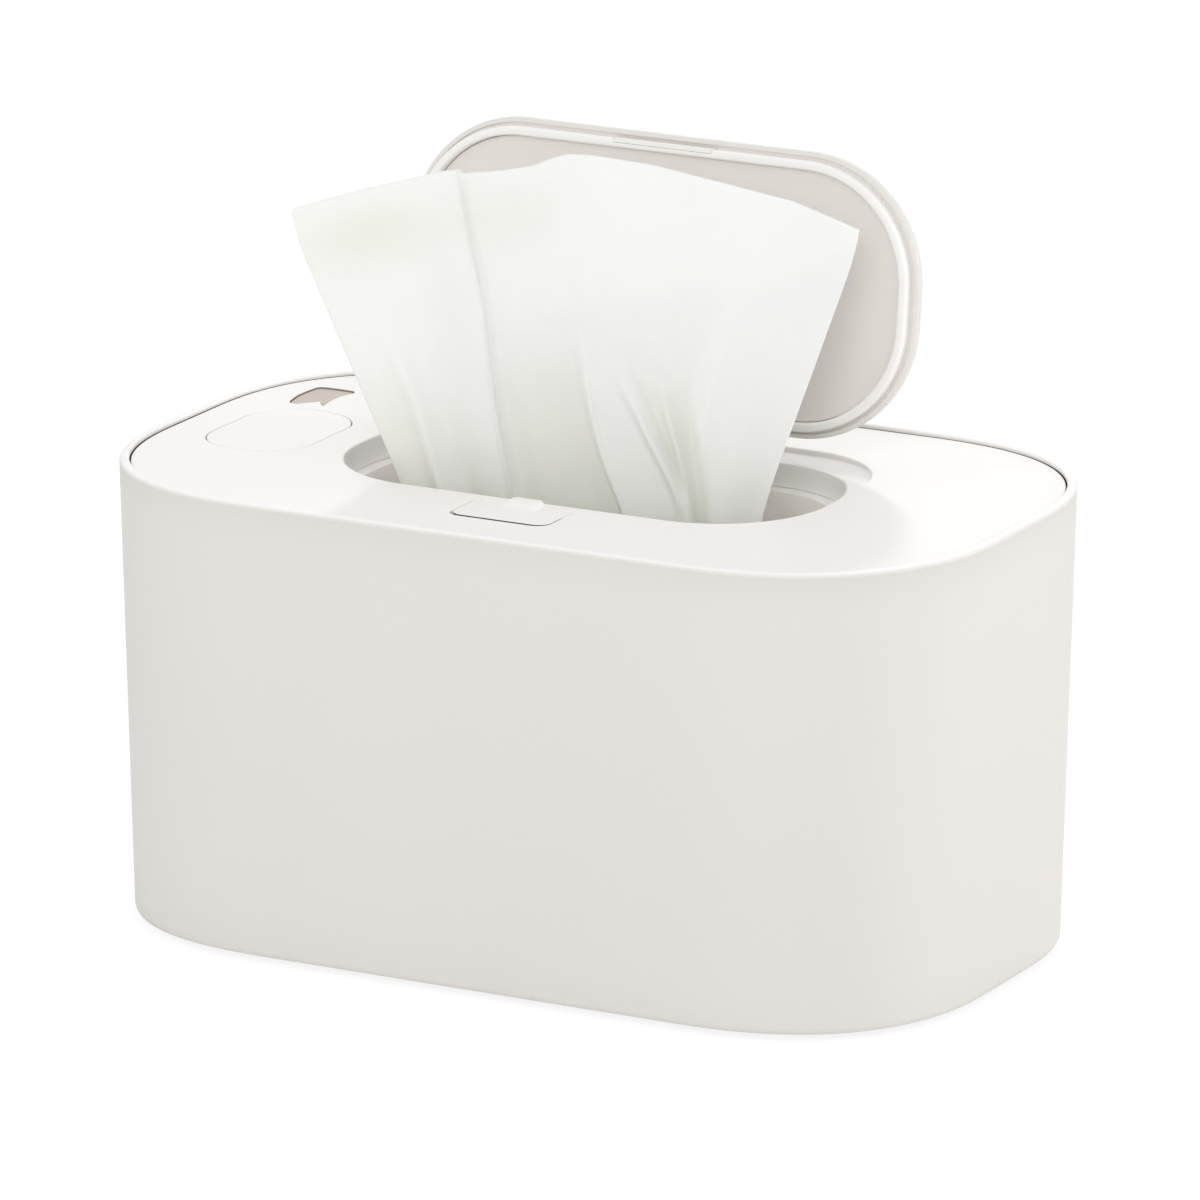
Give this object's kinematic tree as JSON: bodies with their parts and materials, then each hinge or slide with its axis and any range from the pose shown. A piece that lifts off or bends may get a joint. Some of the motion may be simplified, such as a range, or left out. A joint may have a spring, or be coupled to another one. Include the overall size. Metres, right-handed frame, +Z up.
{
  "type": "baby wipe warmer",
  "caption": "White oval-cornered wipe warmer with a spring-open lid, latch and power buttons, and a wipe drawn up through its oblong opening.",
  "frame": {"origin": "on the ground plane, under the middle of the warmer's plan", "axes": "+X along the length, away from the power button; +Y to the hinge side; +Z up"},
  "size_m": [0.24, 0.1466, 0.2064],
  "materials": {
    "white_shell": "satin white with a soft sheen",
    "white_deck": "smooth white",
    "white_inner": "matt off-white",
    "tank_plastic": "matt warm white",
    "collar_cream": "matt cream",
    "panel_grey": "matt warm grey",
    "window_beige": "smoky translucent beige",
    "black_plastic": "matt black",
    "board_green": "lacquered green",
    "led_cream": "clear cream",
    "film_orange": "amber film",
    "plate_aluminium": "rolled",
    "contact_brass": "bright",
    "screw_steel": "plated",
    "spring_steel": "drawn wire",
    "seal_white": "soft white",
    "seal_rubber": "soft grey",
    "foot_rubber": "matt dark grey",
    "wire_red": "sheathed wire",
    "pad_felt": "pressed felt",
    "wipe_fabric": "soft damp nonwoven cloth"
  },
  "bodies": {
    "base": {"outer_shell": "white_shell", "base_plate": "white_inner", "feet": "foot_rubber", "base_screws": "screw_steel", "inner_tank": "tank_plastic", "heat_spreader": "plate_aluminium", "heater_film": "film_orange", "insulation": "pad_felt", "thermal_cutoff": "black_plastic", "temperature_sensor": "black_plastic", "power_inlet": "black_plastic", "inlet_pin": "contact_brass", "contact_block": "black_plastic", "contact_pins": "contact_brass", "wire_loom": "wire_red", "wipe_stack": "wipe_fabric"},
    "deck": {"top_deck": "white_deck", "opening_collar": "collar_cream", "collar_screws": "screw_steel", "deck_gasket": "seal_rubber", "control_board": "board_green", "tact_switch": "black_plastic", "status_leds": "led_cream", "contact_pads": "contact_brass", "board_cover": "white_inner", "board_screws": "screw_steel", "light_window": "window_beige", "latch_pin": "spring_steel", "latch_spring": "spring_steel", "power_spring": "spring_steel", "hinge_pin": "spring_steel", "lid_spring": "spring_steel", "wipe": "wipe_fabric"},
    "lid": {"lid_cover": "white_deck", "lid_panel": "panel_grey", "lid_seal": "seal_white", "lid_catch": "white_deck"},
    "latch": {"latch_button": "white_deck"},
    "power_key": {"power_button": "white_deck"}
  },
  "joints": [
    {"name": "deck_lift", "type": "slide", "parent": "base", "child": "deck", "axis": [0, 0, 1], "range_m": [0, 0.12]},
    {"name": "lid_hinge", "type": "hinge", "parent": "deck", "child": "lid", "pos_m": [0, 0.0344, 0.1267], "axis": [1, 0, 0], "range_deg": [0, 96.1], "stiffness_Nm_per_rad": 0.012, "springref_deg": -28.65, "deforming": ["wipe", "lid_spring"]},
    {"name": "latch_press", "type": "hinge", "parent": "deck", "child": "latch", "pos_m": [0, -0.041, 0.1109], "axis": [1, 0, 0], "range_deg": [0, 4.5], "stiffness_Nm_per_rad": 0.6, "springref_deg": -1.15, "deforming": ["latch_spring"]},
    {"name": "power_press", "type": "slide", "parent": "deck", "child": "power_key", "axis": [0, 0, -1], "range_m": [0, 0.0008], "stiffness_N_per_m": 2000, "springref_m": -0.0002, "deforming": ["power_spring"]}
  ]
}
